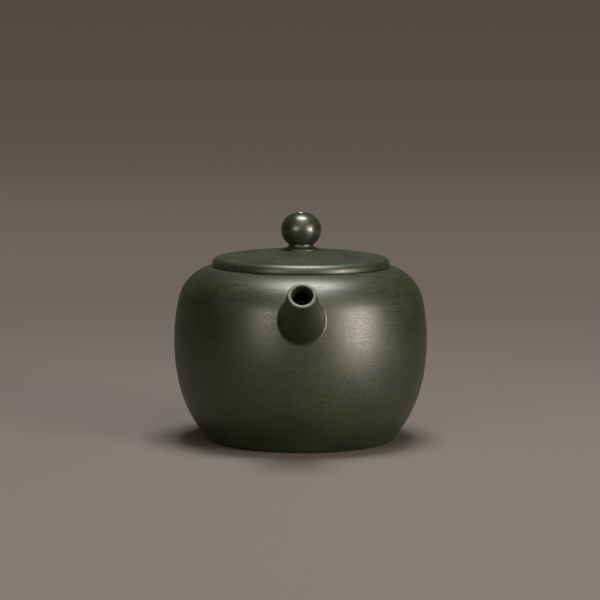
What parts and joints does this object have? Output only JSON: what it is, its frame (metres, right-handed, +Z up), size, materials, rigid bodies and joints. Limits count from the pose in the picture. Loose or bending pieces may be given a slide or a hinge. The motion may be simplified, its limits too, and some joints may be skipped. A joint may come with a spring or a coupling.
{
  "type": "teapot",
  "caption": "Round dark stoneware teapot with a short raised spout, an ear handle, a strainer behind the spout and a lift-off lid with a ball knob.",
  "frame": {"origin": "middle of the foot ring, on the plane that the pot stands on", "axes": "+Z up along the pot's axis, -Y towards the spout, +Y towards the handle, X across the pot"},
  "size_m": [0.092, 0.1445, 0.0828],
  "materials": {
    "burnished_stoneware": "unglazed dark olive-green clay, burnished to a satin sheen with a fine sand grain",
    "bare_stoneware": "the same clay left matt where the tool doesn't reach",
    "polished_stoneware": "the same clay rubbed shiny by the fingers"
  },
  "bodies": {
    "pot": {"base_disc": "bare_stoneware", "body_wall": "burnished_stoneware", "shoulder_disc": "burnished_stoneware", "mouth_ring": "bare_stoneware", "spout": "burnished_stoneware", "strainer": "bare_stoneware", "handle": "burnished_stoneware"},
    "lid": {"lid_disc": "burnished_stoneware", "lid_rim": "burnished_stoneware", "lid_flange": "bare_stoneware", "knob_neck": "burnished_stoneware", "lid_knob": "polished_stoneware"}
  },
  "joints": [
    {"name": "lid_lift", "type": "slide", "parent": "pot", "child": "lid", "axis": [0, 0, 1], "range_m": [0, 0.045]}
  ]
}
